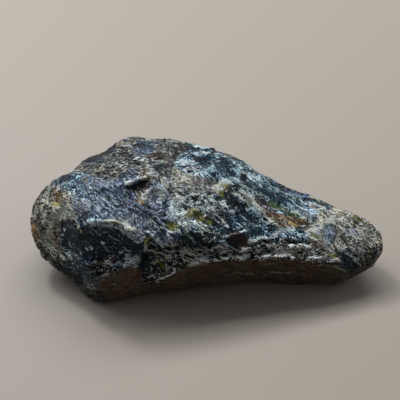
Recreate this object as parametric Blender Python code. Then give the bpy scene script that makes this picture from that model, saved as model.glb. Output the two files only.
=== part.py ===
"""Raw amber: one unpolished, elongated lump with a blunt thick end and a tapering thin end.

Run it with: blender --background --python part.py
The frame is +X along the lump towards its thin end, +Y towards its back and +Z up. The origin is on the
surface that the lump rests on, below the middle of its box. Lists are in millimetres.
"""

import random

import bmesh
import bpy
import numpy as np
from mathutils import Matrix, Vector, noise

MM = 0.001
NAME = "raw_amber"

# The ridge lines of the lump, from the blunt end to the thin end, as (x, y, z) points.
FOOT = (
    (-45.6, -4.6, 7.6), (-44.2, -6.2, 5.8), (-40.7, -8.2, 4.1), (-36.3, -11.8, 1.8), (-32.0, -14.8, 0.6),
    (-28.6, -17.0, 0.0), (-25.5, -16.9, 0.0), (-20.0, -16.0, 0.1), (-12.0, -14.6, 0.2),
    (-4.0, -13.1, 0.2), (4.0, -11.9, 0.2), (11.0, -11.2, 0.1), (18.0, -11.9, 0.2), (24.0, -13.2, 0.3),
    (30.0, -13.6, 1.0), (35.5, -12.7, 2.2), (40.0, -10.6, 4.2), (43.0, -8.2, 6.8), (44.8, -6.0, 8.9),
)
BROW = (
    (-45.6, -5.0, 9.8), (-42.0, -7.4, 9.0), (-36.8, -10.5, 9.2), (-31.2, -13.8, 11.2),
    (-27.0, -15.4, 13.8), (-21.0, -15.8, 14.2), (-16.2, -15.1, 15.2), (-14.0, -13.8, 15.0),
    (-12.0, -15.8, 10.0), (-9.0, -15.7, 11.0), (-4.0, -15.2, 13.2), (3.0, -14.0, 14.0),
    (9.0, -13.2, 14.0), (16.0, -13.2, 12.8), (23.0, -12.6, 11.4), (30.0, -12.4, 10.4), (35.5, -11.9, 8.0),
    (41.0, -9.8, 8.2), (44.8, -6.2, 9.6),
)
RIM = (
    (-45.6, -4.0, 12.2), (-42.0, -5.4, 14.0), (-38.0, -6.4, 16.4), (-33.7, -7.6, 20.4),
    (-29.0, -9.8, 22.2), (-25.0, -11.2, 22.8), (-20.5, -12.0, 22.6), (-16.4, -13.4, 20.6),
    (-10.0, -13.2, 19.4), (-4.0, -12.2, 19.2), (2.0, -10.9, 18.8), (8.0, -9.8, 17.4), (13.5, -9.2, 15.8),
    (20.5, -8.6, 14.2), (28.0, -8.8, 12.8), (36.0, -8.6, 11.4), (42.0, -7.6, 10.6), (44.8, -5.7, 10.3),
)
CREST = (
    (-45.6, 1.0, 14.8), (-43.0, 0.4, 17.8), (-38.0, -0.8, 21.6), (-32.0, -1.8, 24.8), (-24.0, -1.6, 26.6),
    (-15.0, -0.4, 27.2), (-7.0, 0.8, 26.4), (0.0, 2.0, 24.8), (7.0, 2.2, 22.6), (13.0, -0.6, 20.0),
    (20.0, -4.2, 17.2), (27.0, -5.0, 15.4), (34.0, -4.8, 13.8), (40.0, -4.6, 12.2), (44.8, -4.8, 10.8),
)
SHOULDER = (
    (-45.6, 4.8, 14.8), (-42.8, 9.4, 16.2), (-39.4, 11.3, 17.9), (-36.8, 12.2, 18.4), (-35.0, 14.6, 19.5),
    (-29.0, 17.9, 20.5), (-23.4, 22.9, 21.9), (-15.5, 23.1, 21.8), (-7.0, 21.4, 21.2), (1.0, 19.5, 20.2),
    (7.8, 17.2, 18.6), (14.0, 12.7, 17.0), (21.0, 9.9, 15.3), (27.0, 7.6, 14.2), (33.5, 4.6, 13.0),
    (38.8, 3.0, 12.2), (43.0, -0.6, 11.0), (44.8, -4.2, 10.3),
)
BACK = (
    (-45.6, 6.6, 12.6), (-42.0, 11.6, 11.6), (-37.0, 14.4, 11.6), (-30.0, 19.6, 12.0),
    (-22.0, 24.4, 13.0), (-14.0, 24.8, 13.4), (-5.0, 23.0, 13.0), (4.0, 20.6, 11.8), (12.0, 15.8, 10.8),
    (20.0, 12.2, 9.6), (28.0, 8.8, 8.6), (35.0, 5.4, 8.0), (41.0, 2.0, 8.4), (44.8, -4.3, 9.4),
)
HEEL = (
    (-45.6, 4.6, 10.0), (-42.0, 8.2, 6.2), (-36.0, 10.8, 3.6), (-28.0, 14.2, 2.0), (-20.0, 17.2, 1.8),
    (-10.0, 17.6, 1.6), (0.0, 15.4, 1.4), (10.0, 11.6, 1.4), (20.0, 7.4, 1.8), (30.0, 3.8, 2.4),
    (38.0, 0.2, 4.0), (44.8, -4.6, 8.8),
)
KEEL = (
    (-45.6, 1.2, 8.6), (-42.0, 0.6, 3.8), (-36.0, 0.4, 1.4), (-30.0, 1.0, 0.4), (-22.0, 1.4, -0.5),
    (-8.0, 1.6, -0.8), (6.0, 0.2, -0.6), (14.0, -1.4, 0.1), (24.0, -3.2, 1.2), (33.0, -4.4, 2.2),
    (40.0, -5.0, 4.6), (44.8, -5.2, 8.5),
)

# Once round the lump: each strip's first ridge line, how many faces it is wide, how far it bulges and how
# much its first ridge line is softened.
STRIPS = (
    (FOOT, 8, 0.5, 0.35),
    (BROW, 6, -0.2, 0.05),
    (RIM, 8, 0.5, 0.10),
    (CREST, 11, 0.8, 0.45),
    (SHOULDER, 5, 0.7, 0.25),
    (BACK, 8, 0.9, 0.50),
    (HEEL, 8, 0.3, 0.40),
    (KEEL, 8, 0.2, 0.50),
)
BETWEEN_LINES_SOFTENING = 0.15
SOFTENING_PASSES = 3
FULL_BULGE_WIDTH = 10.0  # a narrower strip bulges less
STATIONS = 75
END_CROWDING = 0.22

# The low domes that close the two ends: how high for their width, and their inner rings as shares of the
# outer ring's size and of the height.
DOME_HEIGHT = 0.09
DOME_RINGS = ((0.62, 0.6), (0.28, 0.92))

# Shell-shaped chips, as (where, how deep, radius of the curve they follow).
CHIPS = (
    ((-24.5, -13.5, 18.5), 1.1, 22.0),
    ((-4.0, 16.0, 22.0), 0.9, 26.0),
    ((5.0, 9.0, 22.0), 0.7, 24.0),
    ((11.0, -5.5, 19.0), 0.7, 18.0),
    ((1.0, -8.0, 21.5), 0.6, 20.0),
    ((24.0, 4.0, 15.5), 0.6, 20.0),
    ((-36.0, 12.5, 15.0), 0.9, 14.0),
    ((-14.0, 24.5, 15.0), 1.2, 20.0),
    ((8.0, 18.0, 12.0), 1.1, 16.0),
    ((25.0, 10.0, 9.0), 0.9, 14.0),
    ((36.5, -11.5, 6.5), 0.6, 9.0),
    ((-34.0, -12.5, 5.5), 0.7, 14.0),
    ((22.0, -12.0, 5.0), 0.6, 16.0),
    ((-33.0, 5.0, 1.0), 0.9, 18.0),
    ((-22.0, 19.5, 5.0), 0.9, 15.0),
)

# Shallower chips that cover the whole lump, also where it is turned away.
SCAR_COUNT = 70
SCAR_DEPTH = (0.2, 0.65)
SCAR_RADIUS = (6.0, 14.0)
SCAR_SEED = 11

# Hollows with steep walls, as (start, end, half width, depth).
HOLLOWS = (
    ((-18.6, -1.6, 27.0), (-14.4, -4.6, 26.4), 2.4, 1.9),
    ((14.5, 0.2, 19.4), (25.5, -2.6, 16.0), 1.7, 1.1),
    ((-13.4, -14.6, 14.0), (-12.8, -14.4, 11.0), 1.6, 1.1),
    ((-20.5, 20.8, 21.0), (-15.0, 21.6, 20.6), 1.6, 0.9),
    ((33.5, -4.6, 13.6), (36.5, -3.0, 13.0), 1.2, 0.6),
)

# Steps where a thin layer of the surface has broken away, as (start, end, height); what lies on the left
# of the way from start to end stays high.
LEDGES = (
    ((-38.0, 6.0, 20.0), (-17.0, 2.5, 26.5), 0.7),
    ((-9.0, 12.0, 24.0), (1.5, 4.0, 24.5), 0.8),
    ((12.0, 9.0, 18.5), (31.0, 3.0, 14.5), 0.6),
    ((10.0, -11.5, 15.5), (33.0, -10.5, 12.0), 0.5),
)
HOLLOW_RIM = 1.3  # where the wall of a hollow ends, in half widths from its middle line
HOLLOW_WALL = 0.6  # how wide the wall is, in half widths
LEDGE_REACH = 5.0
LEDGE_FADE = 1.5
LEDGE_RUNOUT = 0.1  # how far a ledge runs on past its two ends, as a share of its length
LEDGE_WAVER = (4.0, 1.2)  # the size and the depth of the bays along a ledge

# The lumps and grain of the rough surface, as (size, height), each with a finer set of lumps on it.
LUMPS = ((13.0, 0.55), (6.0, 0.36), (3.0, 0.26))
FINER = 2.1
FINER_SHARE = 0.5
GRAIN_STRETCH = 0.45
SEED_OFFSET = Vector((17.3, 4.1, 9.7))


def along(line, x):
    """The y and z of a ridge line at x, on a smooth curve through the line's points."""
    points = np.array(line)
    stations, values = points[:, 0], points[:, 1:]
    slopes = np.gradient(values, stations, axis=0)
    i = np.clip(np.searchsorted(stations, x) - 1, 0, len(stations) - 2)
    step = (stations[i + 1] - stations[i])[:, None]
    t = ((x - stations[i])[:, None]) / step
    return (
        (2 * t**3 - 3 * t**2 + 1) * values[i]
        + (t**3 - 2 * t**2 + t) * step * slopes[i]
        + (3 * t**2 - 2 * t**3) * values[i + 1]
        + (t**3 - t**2) * step * slopes[i + 1]
    )


def stations():
    """Places along the lump, closer together at its two ends."""
    t = np.linspace(0, 1, STATIONS)
    eased = t - END_CROWDING * np.sin(2 * np.pi * t) / (2 * np.pi)
    left, right = FOOT[0][0], FOOT[-1][0]
    return left + (right - left) * eased


def rings():
    """The rings of points round the lump, one at each station, as an array of rings, points and x y z."""
    x = stations()
    lines = [along(strip[0], x) for strip in STRIPS]
    middle = sum(lines) / len(lines)
    columns, softness = [], []
    for k, (_, faces, bulge, soft) in enumerate(STRIPS):
        first, second = lines[k], lines[(k + 1) % len(lines)]
        out = (first + second) / 2 - middle
        out /= np.linalg.norm(out, axis=1)[:, None]
        width = np.linalg.norm(second - first, axis=1)[:, None]
        for j in range(faces):
            t = j / faces
            swell = bulge * np.minimum(1, width / FULL_BULGE_WIDTH) * 4 * t * (1 - t)
            columns.append(first * (1 - t) + second * t + out * swell)
            softness.append(soft if j == 0 else BETWEEN_LINES_SOFTENING)
    section = np.stack(columns, axis=1)
    for _ in range(SOFTENING_PASSES):
        neighbours = (np.roll(section, 1, axis=1) + np.roll(section, -1, axis=1)) / 2
        section += (neighbours - section) * np.array(softness)[None, :, None]
    across = np.broadcast_to(x[:, None, None], section.shape[:2] + (1,))
    return np.concatenate([across, section], axis=2)


def skin(bm, points):
    """Joins the rings with faces and closes both ends with a low dome."""
    rows = [[bm.verts.new(p) for p in ring] for ring in points]
    count = len(rows[0])
    for a, b in zip(rows, rows[1:]):
        for j in range(count):
            k = (j + 1) % count
            bm.faces.new((a[j], b[j], b[k], a[k]))
    for row, ring, outward in ((rows[0], points[0], -1), (rows[-1], points[-1], 1)):
        centre = ring.mean(axis=0)
        height = DOME_HEIGHT * np.ptp(ring, axis=0).max()
        last = row
        for share, rise in DOME_RINGS:
            inner = centre + (ring - centre) * share + np.array([outward * rise * height, 0, 0])
            new = [bm.verts.new(p) for p in inner]
            for j in range(count):
                k = (j + 1) % count
                bm.faces.new((last[j], new[j], new[k], last[k]))
            last = new
        tip = bm.verts.new(centre + np.array([outward * height, 0, 0]))
        for j in range(count):
            bm.faces.new((last[j], tip, last[(j + 1) % count]))
    bmesh.ops.recalc_face_normals(bm, faces=bm.faces)


def nearest(bm, where):
    return min(bm.verts, key=lambda v: (v.co - where).length_squared)


def chip(bm, spot, depth, radius):
    """Scoops the surface at a point down to a large ball, which leaves a shallow bowl with a crisp edge."""
    centre = spot.co + spot.normal * (radius - depth)
    for v in bm.verts:
        arm = v.co - centre
        if 0 < arm.length < radius:
            v.co = centre + arm * (radius / arm.length)


def scars(bm):
    """Scatters the shallower chips over the whole lump."""
    chance = random.Random(SCAR_SEED)
    for spot in chance.sample(list(bm.verts), SCAR_COUNT):
        chip(bm, spot, chance.uniform(*SCAR_DEPTH), chance.uniform(*SCAR_RADIUS))


def hollow(bm, start, end, half_width, depth):
    """Sinks a round or long hollow with steep walls and a fairly flat floor."""
    start, end = Vector(start), Vector(end)
    way = end - start
    inward = -nearest(bm, (start + end) / 2).normal
    for v in bm.verts:
        t = min(1, max(0, (v.co - start).dot(way) / way.length_squared))
        far = (v.co - start - way * t).length / half_width
        wall = min(1, max(0, (HOLLOW_RIM - far) / HOLLOW_WALL))
        v.co += inward * depth * (3 * wall**2 - 2 * wall**3)


def ledge(bm, start, end, height):
    """Lowers the surface on the right of a line, sharply at the line and fading away from it."""
    start, end = Vector(start), Vector(end)
    way = end - start
    up = nearest(bm, (start + end) / 2).normal
    right = way.cross(up).normalized()
    bay_size, bay_depth = LEDGE_WAVER
    for v in bm.verts:
        arm = v.co - start
        t = arm.dot(way) / way.length_squared
        side = arm.dot(right) + noise.noise(v.co / bay_size + SEED_OFFSET) * bay_depth
        above = abs(arm.dot(up) - t * way.dot(up))
        runout = min(t, 1 - t) / LEDGE_RUNOUT + 1
        if 0 < side < LEDGE_REACH and runout > 0 and above < LEDGE_REACH:
            v.co -= up * height * (1 - side / LEDGE_REACH) ** LEDGE_FADE * min(1, runout)


def roughen(bm):
    """Adds the lumps and the grain, which runs along the lump, along each point's own normal."""
    bm.normal_update()
    moves = []
    for v in bm.verts:
        total = 0
        for size, height in LUMPS:
            place = Vector((v.co.x * GRAIN_STRETCH, v.co.y, v.co.z)) / size
            finer = noise.noise(place * FINER - SEED_OFFSET) * FINER_SHARE
            total += height * (noise.noise(place + SEED_OFFSET) + finer)
        moves.append(v.normal * total)
    for v, move in zip(bm.verts, moves):
        v.co += move


def rest_flat(bm):
    """Cuts the underside off at z = 0, which leaves the small flat spot that the lump rests on."""
    everything = bm.verts[:] + bm.edges[:] + bm.faces[:]
    up = Vector((0, 0, 1))
    cut = bmesh.ops.bisect_plane(bm, geom=everything, plane_co=up * 0, plane_no=up, clear_inner=True)
    rim = [e for e in cut["geom_cut"] if isinstance(e, bmesh.types.BMEdge)]
    bmesh.ops.holes_fill(bm, edges=rim)
    bmesh.ops.recalc_face_normals(bm, faces=bm.faces)


def centre_box(bm):
    """Puts the origin below the middle of the lump's box."""
    low = [min(v.co[i] for v in bm.verts) for i in range(2)]
    high = [max(v.co[i] for v in bm.verts) for i in range(2)]
    shift = Vector((-(low[0] + high[0]) / 2, -(low[1] + high[1]) / 2, 0))
    bmesh.ops.translate(bm, verts=bm.verts, vec=shift)


def amber_material():
    material = bpy.data.materials.new("amber")
    material.use_nodes = True
    shader = material.node_tree.nodes["Principled BSDF"]
    shader.inputs["Base Color"].default_value = (0.035, 0.034, 0.03, 1)
    shader.inputs["Roughness"].default_value = 0.32
    shader.inputs["Metallic"].default_value = 0.0
    shader.inputs["IOR"].default_value = 1.54
    return material


def raw_amber():
    bm = bmesh.new()
    skin(bm, rings())
    bm.normal_update()
    for where, depth, radius in CHIPS:
        chip(bm, nearest(bm, Vector(where)), depth, radius)
    roughen(bm)
    bm.normal_update()
    scars(bm)
    bm.normal_update()
    for start, end, half_width, depth in HOLLOWS:
        hollow(bm, start, end, half_width, depth)
    for start, end, height in LEDGES:
        ledge(bm, start, end, height)
    rest_flat(bm)
    centre_box(bm)
    bmesh.ops.transform(bm, verts=bm.verts, matrix=Matrix.Scale(MM, 4))
    mesh = bpy.data.meshes.new(NAME)
    bm.to_mesh(mesh)
    bm.free()
    mesh.shade_smooth()
    mesh.materials.append(amber_material())
    lump = bpy.data.objects.new(NAME, mesh)
    bpy.context.scene.collection.objects.link(lump)
    return lump


def main():
    for old in list(bpy.data.objects):
        bpy.data.objects.remove(old)
    raw_amber()


main()
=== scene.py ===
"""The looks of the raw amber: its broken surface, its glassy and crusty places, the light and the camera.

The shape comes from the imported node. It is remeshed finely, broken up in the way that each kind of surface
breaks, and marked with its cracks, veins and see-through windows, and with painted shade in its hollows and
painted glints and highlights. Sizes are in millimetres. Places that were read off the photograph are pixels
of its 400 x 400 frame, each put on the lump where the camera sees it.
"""

import itertools
import math
from typing import NamedTuple

import bmesh
import bpy
import numpy as np
from mathutils import Matrix, Vector
from mathutils.bvhtree import BVHTree


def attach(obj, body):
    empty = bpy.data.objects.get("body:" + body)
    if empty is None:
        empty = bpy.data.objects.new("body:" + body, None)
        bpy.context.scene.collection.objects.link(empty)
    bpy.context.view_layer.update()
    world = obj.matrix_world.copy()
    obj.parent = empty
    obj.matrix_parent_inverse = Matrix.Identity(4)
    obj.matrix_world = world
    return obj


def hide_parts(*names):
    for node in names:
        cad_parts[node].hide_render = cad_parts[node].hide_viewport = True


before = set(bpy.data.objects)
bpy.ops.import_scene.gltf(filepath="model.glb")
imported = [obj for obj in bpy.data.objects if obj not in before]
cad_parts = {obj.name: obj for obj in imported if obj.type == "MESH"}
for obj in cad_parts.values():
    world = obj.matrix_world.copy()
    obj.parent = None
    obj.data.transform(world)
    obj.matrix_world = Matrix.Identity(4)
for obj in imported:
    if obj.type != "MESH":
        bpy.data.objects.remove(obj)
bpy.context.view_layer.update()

MM = 0.001
NODE = "raw_amber"

# The camera of the photograph: it looks along +Y and down.
PHOTO_SIDE = 400
VIEW_ANGLE = math.radians(34.0)
ELEVATION = math.radians(46.0)
AIM = Vector((-1.5, 4.2, 12.0))
DISTANCE = 174.6
FORWARD = Vector((0.0, math.cos(ELEVATION), -math.sin(ELEVATION)))
UPWARD = Vector((0.0, math.sin(ELEVATION), math.cos(ELEVATION)))
EYE = AIM - FORWARD * DISTANCE

# The fine mesh.
VOXEL = 0.34
EVENING_PASSES = 14
EVENING_SHARE = 0.6
SAME_POINT = 0.001
TINY = 1e-9
RESTING = 1e-4  # a point lower than this stays on the floor
FLOOR_FADE = 0.8  # broken relief fades out this far above the floor

# The kinds of surface, each with the pixels where it shows in the photograph.
KIND_AT = {
    "crust": (
        (40, 200), (38, 213), (45, 190), (54, 186), (50, 205), (62, 196), (60, 207), (66, 215), (52, 222),
        (44, 238), (54, 236), (48, 250), (58, 258), (84, 286), (70, 283), (92, 296), (322, 218),
        (335, 222), (346, 224), (322, 236), (336, 240), (350, 238), (363, 241), (373, 240), (376, 250),
        (366, 256), (345, 246), (366, 230), (352, 217), (340, 213), (370, 262), (310, 226), (356, 247),
    ),
    "earth": (
        (86, 166), (95, 160), (105, 152), (112, 162), (122, 152), (130, 160), (131, 145), (146, 162),
        (146, 172), (160, 160), (166, 147), (157, 172), (170, 178), (121, 171), (101, 170), (182, 181),
        (196, 187), (211, 189), (184, 193), (172, 190), (225, 192), (330, 212), (320, 209),
    ),
    "slate": (
        (84, 181), (95, 190), (85, 200), (100, 200), (112, 208), (88, 212), (105, 217), (121, 216),
        (136, 223), (150, 226), (160, 232), (147, 235), (165, 220), (166, 206), (162, 192), (121, 196),
        (110, 186), (127, 176), (158, 240), (168, 236), (330, 232), (318, 231), (145, 146), (139, 148),
    ),
    "glass": (
        (80, 230), (89, 233), (101, 238), (113, 234), (126, 241), (90, 246), (105, 250), (120, 252),
        (132, 250), (75, 240), (84, 255), (70, 268), (77, 276), (234, 241), (350, 262), (346, 256),
        (88, 275), (350, 268), (148, 262), (142, 252), (104, 150), (325, 205), (200, 240), (188, 238),
        (66, 228), (68, 241), (70, 250), (64, 234), (76, 262), (96, 228), (108, 232), (137, 246),
        (100, 256), (116, 260), (94, 154), (112, 147),
    ),
    "teal": (
        (62, 177), (71, 179), (186, 166), (196, 158), (206, 166), (216, 158), (226, 165), (236, 173),
        (211, 176), (226, 177), (242, 182), (255, 181), (262, 188), (270, 193), (281, 199), (292, 206),
        (302, 208), (310, 212), (252, 173), (231, 211), (241, 204), (246, 216), (256, 221), (263, 229),
        (236, 226), (251, 231), (274, 233), (287, 232), (216, 224), (226, 231), (300, 236), (276, 186),
        (66, 184), (74, 186), (60, 182),
    ),
    "wispy": (
        (178, 206), (186, 199), (196, 202), (180, 220), (188, 212), (206, 207), (217, 206), (226, 200),
        (201, 231), (186, 229), (214, 214), (240, 193), (250, 204), (262, 217), (205, 196), (217, 235),
    ),
    "brown": (
        (112, 280), (130, 275), (130, 290), (152, 290), (172, 281), (190, 273), (210, 268), (230, 267),
        (250, 267), (270, 269), (290, 270), (310, 272), (331, 273), (345, 276), (112, 292), (200, 281),
        (240, 277), (280, 279), (316, 282), (360, 273), (150, 294), (180, 288), (215, 282), (262, 281),
        (300, 286), (334, 285), (230, 283), (248, 281), (275, 283), (197, 286), (291, 284), (241, 242),
    ),
    "fringe": (
        (150, 250), (165, 252), (180, 249), (195, 248), (210, 250), (224, 252), (240, 253), (255, 250),
        (270, 248), (285, 245), (300, 246), (315, 250), (326, 254), (176, 260), (160, 262), (150, 275),
        (314, 242), (96, 262), (110, 262), (126, 262), (98, 270),
    ),
}
KINDS = tuple(KIND_AT)
EDGE_BETWEEN_KINDS = 0.30

KIND_SEED = 5
KIND_EDGE_SEED = 60  # the first of the seeds for the edges of the kinds, and how many each kind takes
KIND_EDGE_SEEDS = 7

# Kinds on the sides that the photograph doesn't show: how many patches, and each kind's share of them.
HIDDEN_PATCHES = 90
HIDDEN_SHARE = {
    "crust": 0.24,
    "earth": 0.22,
    "slate": 0.10,
    "glass": 0.14,
    "teal": 0.10,
    "wispy": 0.06,
    "fringe": 0.14,
}
WELL_HIDDEN = -0.25  # a place that faces the camera less than this, as a cosine, counts as hidden
# The underside is taken to be smooth and brown, as its rim is in the photograph. There the upward part of the
# normal is below UNDERSIDE, and the height is below UNDERSIDE_TOP.
UNDERSIDE = -0.6
UNDERSIDE_TOP = 2.0
UNDERSIDE_PATCHES = 40

# Broken faces and shell-shaped chips, as (pixel, depth, radius). The large radii are nearly flat.
CHIPS = (
    ((200, 275), 0.22, 90.0), ((290, 272), 0.18, 90.0), ((120, 281), 0.3, 60.0), ((112, 203), 0.7, 70.0),
    ((145, 222), 0.4, 50.0), ((90, 238), 0.6, 30.0), ((116, 243), 0.6, 22.0), ((130, 251), 0.35, 14.0),
    ((139, 191), 0.42, 5.5), ((146, 203), 0.3, 3.5), ((54, 203), 0.25, 20.0), ((50, 228), 0.25, 16.0),
    ((64, 248), 0.3, 18.0), ((75, 270), 0.4, 16.0), ((99, 168), 0.25, 14.0), ((124, 153), 0.3, 14.0),
    ((146, 146), 0.2, 14.0), ((120, 168), 0.4, 25.0), ((158, 160), 0.35, 18.0), ((178, 154), 0.3, 10.0),
    ((203, 162), 0.8, 14.0), ((189, 170), 0.3, 9.0), ((228, 172), 0.5, 12.0), ((246, 178), 0.25, 7.0),
    ((262, 189), 0.3, 10.0), ((288, 202), 0.3, 8.0), ((200, 186), 0.3, 16.0), ((180, 208), 0.35, 9.0),
    ((238, 213), 0.7, 15.0), ((256, 226), 0.4, 11.0), ((222, 224), 0.35, 9.0), ((197, 217), 0.55, 3.6),
    ((173, 226), 0.45, 2.6), ((208, 221), 0.35, 2.2), ((200, 246), 0.4, 12.0), ((270, 249), 0.35, 14.0),
    ((335, 238), 0.45, 15.0), ((346, 224), 0.4, 18.0), ((360, 245), 0.3, 12.0), ((350, 262), 0.6, 12.0),
    ((315, 219), 0.5, 1.7),
)
# More of them on the sides that the photograph doesn't show: their number, depths and radii.
HIDDEN_CHIPS = 60
HIDDEN_CHIP_DEPTH = (0.25, 0.7)
HIDDEN_CHIP_RADIUS = (6.0, 25.0)
HIDDEN_CHIP_SEED = 9

# In the tables below each row of a group is (half width, pixels along the line), and each group has a key.

# Steps, cracks and ridges, by how far they stand out.
RELIEF = {
    -1.0: ((1.3, (148, 256), (146, 264)),),
    -0.6: (
        (0.5, (150, 207), (154, 208), (157, 209)),
        (0.6, (200, 253), (215, 255), (232, 254), (250, 255), (270, 252)),
    ),
    -0.55: ((0.4, (100, 225), (106, 224), (112, 224), (118, 225), (122, 228), (124, 232)),),
    -0.5: (
        (0.6, (150, 241), (156, 247), (162, 251)),
        (1.7, (260, 201), (270, 210), (281, 217), (291, 221), (300, 224)),
        (0.7, (285, 243), (300, 241), (312, 244), (322, 249)),
    ),
    -0.4: (
        (0.5, (84, 173), (100, 174), (118, 176), (130, 178)), (0.5, (134, 162), (140, 165)),
        (0.4, (163, 170), (172, 171)),
    ),
    -0.35: (
        (0.35, (131, 205), (140, 209), (147, 213), (154, 219), (160, 226)),
        (0.4, (165, 200), (166, 208), (165, 216)),
    ),
    -0.25: ((0.3, (107, 201), (106, 208), (109, 215), (114, 219)),),
    0.3: ((0.5, (238, 252), (248, 248), (262, 246), (280, 250), (300, 247), (316, 246)),),
    0.35: (
        (0.4, (128, 236), (134, 241), (139, 242), (144, 238)),
        (0.5, (171, 172), (181, 162), (190, 156), (199, 152), (212, 150)),
        (0.5, (262, 179), (271, 188), (285, 195), (308, 198)),
        (0.6, (80, 168), (95, 164), (110, 168), (126, 170), (140, 168)),
        (0.6, (115, 145), (128, 150), (136, 157), (150, 164), (165, 165)),
    ),
    0.4: (
        (0.6, (127, 184), (133, 181), (140, 180), (148, 177)),
        (0.4, (241, 194), (250, 199), (257, 206), (265, 216), (277, 227)),
        (0.5, (208, 261), (225, 259), (245, 258), (270, 257), (290, 259), (312, 259), (328, 257), (340, 262)),
        (0.6, (62, 250), (74, 256), (84, 263), (95, 268), (98, 280), (98, 292)),
    ),
    0.45: ((0.4, (148, 232), (153, 236), (157, 241), (163, 246)),),
    0.5: (
        (0.6, (88, 222), (97, 221), (106, 221), (114, 222), (120, 225), (126, 229), (134, 230)),
        (0.6, (140, 248), (150, 256), (152, 270), (160, 278), (170, 273), (185, 266), (200, 262)),
    ),
}
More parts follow.
